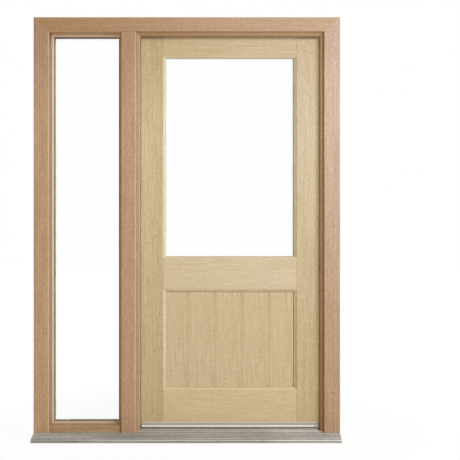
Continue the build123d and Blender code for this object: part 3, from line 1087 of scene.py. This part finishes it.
@dataclass
class DoorLeaf:
    """The leaf: stiles, rails, veneered panel and glazed light."""

    # The end and lip tints are painted light and shade: the stiles darker towards their feet and
    # paler and bluer at their tops, the top rail darker, and the lips of the lock stile, middle
    # rail and bottom rail painted as highlights; the cut numbers only shift the grain.
    boards: dict[str, tuple[Grain, Tone]] = field(
        default_factory=lambda: {
            "lock_stile": (
                Grain.UP,
                Tone((0.82, 0.80, 0.73), (0.945, 0.95, 0.955), 1.7, (1.23, 1.38, 1.70), 1.3),
            ),
            "hinge_stile": (
                Grain.UP,
                Tone((0.83, 0.815, 0.75), (0.965, 1.005, 1.11), 2.9, bold=1.3),
            ),
            "top_rail": (Grain.ACROSS, Tone((0.80, 0.79, 0.755), (0.845, 0.86, 0.885), 3.3)),
            "middle_rail": (
                Grain.ACROSS,
                Tone((0.95, 0.975, 1.03), (0.975, 1.01, 1.10), 4.1, (1.05, 1.07, 1.10)),
            ),
            "bottom_rail": (
                Grain.ACROSS,
                Tone((0.95, 0.94, 0.91), (0.96, 0.95, 0.92), 5.2, (1.08, 1.13, 1.22)),
            ),
            "door_bead_left": (Grain.UP, Tone(cut=6.1)),
            "door_bead_right": (Grain.UP, Tone(cut=6.6)),
            "door_bead_top": (Grain.ACROSS, Tone(cut=7.2)),
            "door_bead_bottom": (Grain.ACROSS, Tone(cut=7.9)),
        }
    )
    # Painted light and shade: lighter and darker bands on the moulded lips, lifts of the shadows
    # cast on the top rail by the head and on the hinge stile by the jamb, and each stile darker
    # towards its top.
    strips: dict[str, tuple[Strip, ...]] = field(
        default_factory=lambda: {
            "top_rail": (
                Strip((1.30, 1.31, 1.35), z=(1.90, 1.9342)),
                Strip((1.45, 1.42, 1.36), z=(2.0235, 2.0400), soft=(0.0, 0.0, 0.003)),
            ),
            "lock_stile": (
                Strip((1.07, 1.08, 1.10), x=(-0.2600, -0.2000), soft=(0.03, 0.0, 0.0)),
                Strip((1.06, 1.06, 1.06), x=(-0.2500, -0.2290), soft=(0.002, 0.0, 0.0)),
                Strip((0.96, 0.955, 0.945), x=(-0.1500, -0.1226), soft=(0.01, 0.0, 0.0)),
                Strip((0.80, 0.785, 0.70), z=(1.74, 2.50), soft=(0.0, 0.0, 0.29)),
            ),
            "hinge_stile": (
                Strip((1.20, 1.22, 1.26), x=(0.5400, 0.5466)),
                Strip((0.88, 0.86, 0.81), x=(0.5500, 0.5566)),
                Strip((1.48, 1.45, 1.39), x=(0.6560, 0.6800), soft=(0.006, 0.0, 0.0)),
                Strip((0.855, 0.83, 0.77), z=(1.80, 2.50), soft=(0.0, 0.0, 0.25)),
            ),
            "middle_rail": (
                Strip((1.09, 1.08, 1.07), z=(0.9098, 0.9154)),
                Strip((0.97, 0.94, 0.87), z=(0.7385, 0.7530)),
            ),
            "bottom_rail": (Strip((0.93, 0.91, 0.86), z=(0.2510, 0.2560)),),
        }
    )
    shut_dark: float = 0.8
    seal_widths: tuple[float, float, float, float] = (0.0015, 0.0075, 0.0015, 0.0015)
    seal_depth: float = 0.0032
    # Painted shade on the seal's right side and painted light on its left.
    seal_shading: tuple[Strip, ...] = (
        Strip((0.62, 0.62, 0.61), x=(0.5, 1.0)),
        Strip((1.35, 1.36, 1.36), x=(-1.0, -0.05)),
    )

    def build(self) -> None:
        """Model the sealant round the outer pane."""
        sizes = (self.seal_widths, self.seal_depth, self.seal_shading)
        GlazingSeal("door", Body.DOOR, PALE_SEALANT, *sizes).build()

    def dress(self) -> None:
        """Finish each board, the panel, the panes and the spacer."""
        for node, (grain, tone) in self.boards.items():
            shut = self.shut_dark if node.endswith("rail") else 0.0
            dress(node, OAK.material(node, grain, tone, shut, self.strips.get(node, ())))
        dress("lower_panel", VeneeredPanel(OAK).material("lower_panel"))
        dress_panes("door")
        dress("door_spacer", PALE_SPACER.material("door_spacer"))


@dataclass
class WeatherSeals:
    """Soft ribs on the back of the stops, which the closed leaf comes up to."""

    leaf_gap: float = 0.005
    show: float = -0.0015
    width: float = 0.0105
    base: float = 0.0014
    rib_inset: float = 0.0022
    rib: float = 0.0032
    edge: float = 0.0012
    edge_steps: int = 3
    foot_gap: float = 0.004

    def build(self) -> None:
        """Model the seal up each side of the leaf and the one over it."""
        stile_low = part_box("lock_stile")[0]
        back = stile_low.y - self.leaf_gap
        foot = stile_low.z + self.foot_gap
        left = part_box("mullion")[1].x + self.show
        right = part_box("right_jamb")[0].x - self.show
        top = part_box("head")[0].z - self.show
        outer_left, outer_right = left - self.width, right + self.width
        for name, low, high in (
            ("mullion_weather_seal", (outer_left, back, foot), (left, back, top)),
            ("jamb_weather_seal", (right, back, foot), (outer_right, back, top)),
            ("head_weather_seal", (outer_left, back, top), (outer_right, back, top + self.width)),
        ):
            self.strip(name, Vector(low), Vector(high))

    def strip(self, name: str, low: Vector, high: Vector) -> None:
        """Model one seal: a flat base with a rounded rib towards the leaf.

        Args:
            name: The seal's name.
            low: Its lowest corner, on the back of the stop.
            high: Its highest corner, on the back of the stop.
        """
        seal = Workpiece.block(name, low, high + Vector((0.0, self.base, 0.0)))
        seal.pick("FACE", lambda middle, normal: normal.y > FACING)
        seal.inset(self.rib_inset)
        seal.extrude((0.0, self.rib, 0.0))
        crest = low.y + self.base + self.rib
        seal.pick("EDGE", lambda middle, run: abs(middle.y - crest) < SAME_PLACE)
        seal.bevel(self.edge, self.edge_steps)
        piece = seal.done()
        paint(piece, BROWN_RUBBER.material(name))
        seat(piece, Body.FRAME)


@dataclass
class HingeSet:
    """Three butt hinges at the inside, with countersunk screws in their flaps."""

    levels: tuple[str, ...] = ("bottom", "middle", "top")
    head_radius: float = 0.004
    head_thickness: float = 0.0016
    head_sides: int = 32
    head_smooth: float = 30.0
    proud: float = 0.0003
    rim: float = 0.0003
    slot_length: float = 0.0046
    slot_width: float = 0.001
    slot_depth: float = 0.0009
    slot_taper: float = 0.7
    heights: tuple[float, ...] = (0.012, 0.038, 0.062, 0.088)
    rows: Span = (0.009, 0.019)
    turn: float = 0.7

    def model_screw(self) -> bpy.types.Object:
        """Model one screw head at the origin, facing +X.

        Returns:
            The head.
        """
        sizes = (self.head_radius, self.head_thickness, self.head_sides)
        head = Workpiece.disc("hinge_screw", *sizes)
        head.pick("FACE", lambda middle, normal: normal.x > FACING)
        head.inset(self.rim)
        head.move((self.rim / 2, 0.0, 0.0))
        screw = head.done(self.head_smooth)
        for name, run in (("slot_up", (1.0, 0.0)), ("slot_across", (0.0, 1.0))):
            self.cut_slot(screw, name, run)
        return screw

    def cut_slot(self, screw: bpy.types.Object, name: str, run: Span) -> None:
        """Cut one bar of the cross recess.

        Args:
            screw: The head to cut.
            name: A name for the cutter.
            run: How much of the slot's length lies along Y and along Z.
        """
        face = self.head_thickness / 2
        half_y = (self.slot_length * run[0] + self.slot_width * run[1]) / 2
        half_z = (self.slot_length * run[1] + self.slot_width * run[0]) / 2
        low = Vector((face - self.slot_depth, -half_y, -half_z))
        high = Vector((face + self.slot_depth, half_y, half_z))
        cutter = Workpiece.block(name, low, high)
        cutter.pick("FACE", lambda middle, normal: normal.x < -FACING)
        bpy.ops.transform.resize(value=(1.0, self.slot_taper, self.slot_taper))
        tool = cutter.done()
        bpy.ops.object.select_all(action="DESELECT")
        bpy.context.view_layer.objects.active = screw
        screw.select_set(True)
        bpy.ops.object.modifier_add(type="BOOLEAN")
        modifier = screw.modifiers[-1]
        modifier.operation = "DIFFERENCE"
        modifier.solver = "EXACT"
        modifier.object = tool
        bpy.ops.object.modifier_apply(modifier=modifier.name)
        bpy.data.objects.remove(tool)

    def place_copy(
        self, screw: bpy.types.Object, name: str, side: Side, middle: Vector, turn: float
    ) -> None:
        """Put a copy of the screw head in a flap.

        Args:
            screw: The head to copy.
            name: The copy's name.
            side: The flap that it goes in.
            middle: The place of its outer face.
            turn: How far its recess is turned, in radians.
        """
        origin = (0.0, 0.0, 0.0)
        bpy.ops.object.select_all(action="DESELECT")
        screw.select_set(True)
        bpy.context.view_layer.objects.active = screw
        bpy.ops.object.duplicate(linked=False)
        copy = bpy.context.object
        copy.name = name
        copy.data.name = name
        bpy.ops.transform.rotate(value=turn, orient_axis="X", center_override=origin)
        if side is Side.FRAME:
            bpy.ops.transform.rotate(value=math.pi, orient_axis="Z", center_override=origin)
        sunk = side.value * (self.proud - self.head_thickness / 2 - self.rim / 2)
        bpy.ops.transform.translate(value=middle + Vector((sunk, 0.0, 0.0)))
        bpy.ops.object.transform_apply(location=True, rotation=True, scale=True)
        paint(copy, HINGE_STEEL.material(name))
        seat(copy, Body(side.name.lower()))

    def build(self) -> None:
        """Model the screws of all six flaps."""
        screw = self.model_screw()
        count = 0
        for level in self.levels:
            for side in Side:
                flap = f"{level}_hinge_{side.name.lower()}"
                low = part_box(f"{flap}_leaf")[0]
                face = self.flap_face(side)
                for number, height in enumerate(self.heights):
                    count += 1
                    middle = Vector((face, low.y + self.rows[number % 2], low.z + height))
                    name = f"{flap}_screw_{number + 1}"
                    self.place_copy(screw, name, side, middle, count * self.turn)
        bpy.data.objects.remove(screw)

    def flap_face(self, side: Side) -> float:
        """The X of a flap's face in the gap.

        Args:
            side: The flap.

        Returns:
            Where its face stands.
        """
        leaf_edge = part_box("hinge_stile")[1].x
        pin_middle = middle_of("top_hinge_pin").x
        return leaf_edge if side is Side.DOOR else 2 * pin_middle - leaf_edge

    def dress(self) -> None:
        """Finish the hinge leaves and pins."""
        for level in self.levels:
            for part in ("frame_leaf", "door_leaf", "pin"):
                node = f"{level}_hinge_{part}"
                dress(node, HINGE_STEEL.material(node))


@dataclass
class Studio:
    """The plain floor, the light and the camera."""

    floor_size: float = 40.0
    floor_paper: Colour = (0.8, 0.8, 0.8)
    floor_lift: float = 0.25
    floor_glow: float = 1.06
    shadow_reach: Span = (0.9, 2.4)
    shadow_fade: Span = (0.86, 1.0)
    fill: Colour = (1.0, 0.965, 0.90)
    fill_round: float = 0.25
    fill_front: float = 0.56
    fill_back: float = 0.80
    key_place: Triple = (3.33, -4.80, 3.50)
    key_aim: Triple = (0.2, 0.0, 1.1)
    key_size: float = 2.1
    key_power: float = 232.0
    key_colour: Colour = (1.0, 0.99, 0.975)
    stand_off: float = 4.396
    eye_height: float = 1.052
    lens: float = 68.63
    sensor: float = 36.0

    def seen_directly(self, board: Board) -> Socket:
        """The share of a ray that shows the backdrop itself, openly, in a gloss or through glass.

        Args:
            board: The board of the world's or the floor's nodes.

        Returns:
            The socket of the share, which is 0 for light on its way to a dull surface.
        """
        path = board.add("ShaderNodeLightPath").outputs
        shown = board.math("MAXIMUM", path["Is Camera Ray"], path["Is Transmission Ray"])
        shown = board.math("MAXIMUM", shown, path["Is Glossy Ray"])
        return board.math("MULTIPLY", shown, board.math("LESS_THAN", path["Diffuse Depth"], 0.5))

    def build_world(self) -> None:
        """A white backdrop that lights the object softly, most from the front and the back."""
        world = bpy.data.worlds.new("backdrop")
        bpy.context.scene.world = world
        world.use_nodes = True
        board = Board(world.node_tree)
        seen = self.seen_directly(board)
        depth = board.split(board.add("ShaderNodeTexCoord").outputs["Generated"])[1]
        behind = board.math("GREATER_THAN", depth, 0.0)
        most = board.math("MULTIPLY", behind, self.fill_back - self.fill_front)
        most = board.math("ADD", most, self.fill_front)
        lamp = board.math("MULTIPLY", board.math("MULTIPLY", depth, depth), most)
        lamp = board.math("ADD", lamp, self.fill_round)
        unseen = board.math("MULTIPLY", board.math("SUBTRACT", 1.0, seen), lamp)
        inputs = {
            "Color": board.blend(seen, self.fill, WHITE),
            "Strength": board.math("ADD", unseen, seen),
        }
        light = board.add("ShaderNodeBackground", inputs).outputs[0]
        board.add("ShaderNodeOutputWorld", {"Surface": light})

    def build_floor(self) -> None:
        """A pale floor that keeps a faint shadow near the sill."""
        bpy.ops.object.select_all(action="DESELECT")
        bpy.ops.mesh.primitive_plane_add(size=self.floor_size)
        floor = bpy.context.object
        floor.name = "floor"
        material, board = new_material("pale_floor")
        spot = board.add("ShaderNodeTexCoord").outputs["Object"]
        away = board.add("ShaderNodeVectorMath", {0: spot}, operation="LENGTH").outputs["Value"]
        near = board.spread(away, *self.shadow_reach, *self.shadow_fade)
        paper = board.add("ShaderNodeBsdfDiffuse", {"Color": (*self.floor_paper, 1.0)}).outputs[0]
        inputs = {"Color": (*self.fill, 1.0), "Strength": self.floor_lift}
        lift = board.add("ShaderNodeEmission", inputs).outputs[0]
        bounce = board.add("ShaderNodeAddShader", {0: paper, 1: lift}).outputs[0]
        glow = board.add("ShaderNodeEmission", {"Strength": self.floor_glow}).outputs[0]
        shown = board.add("ShaderNodeMixShader", {0: near, 1: paper, 2: glow}).outputs[0]
        seen = self.seen_directly(board)
        board.show(board.add("ShaderNodeMixShader", {0: seen, 1: bounce, 2: shown}).outputs[0])
        paint(floor, material)

    def build_key(self) -> None:
        """A soft lamp at the upper right."""
        lamp = bpy.data.lights.new("key", "AREA")
        lamp.size = self.key_size
        lamp.energy = self.key_power
        lamp.color = self.key_colour
        key = bpy.data.objects.new("key", lamp)
        bpy.context.scene.collection.objects.link(key)
        key.location = self.key_place
        way = Vector(self.key_aim) - Vector(self.key_place)
        key.rotation_euler = way.to_track_quat("-Z", "Y").to_euler()

    def build_camera(self) -> None:
        """A level camera square to the leaf, opposite its middle."""
        lens = bpy.data.cameras.new("camera")
        lens.lens = self.lens
        lens.sensor_width = self.sensor
        camera = bpy.data.objects.new("camera", lens)
        bpy.context.scene.collection.objects.link(camera)
        camera.location = (middle_of("top_rail").x, -self.stand_off, self.eye_height)
        camera.rotation_euler = (math.pi / 2, 0.0, 0.0)
        bpy.context.scene.camera = camera

    def build(self) -> None:
        """Set up the whole studio."""
        bpy.context.scene.view_settings.view_transform = "Standard"
        self.build_world()
        self.build_floor()
        self.build_key()
        self.build_camera()


def main() -> None:
    """Build and finish the door set."""
    logging.basicConfig(level=logging.INFO, format="%(message)s")
    Studio().build()
    OuterFrame().dress()
    Sill().dress()
    for part in (Sidelight(), DoorLeaf()):
        part.build()
        part.dress()
    WeatherSeals().build()
    hinges = HingeSet()
    hinges.build()
    hinges.dress()


if __name__ == "__main__":
    main()
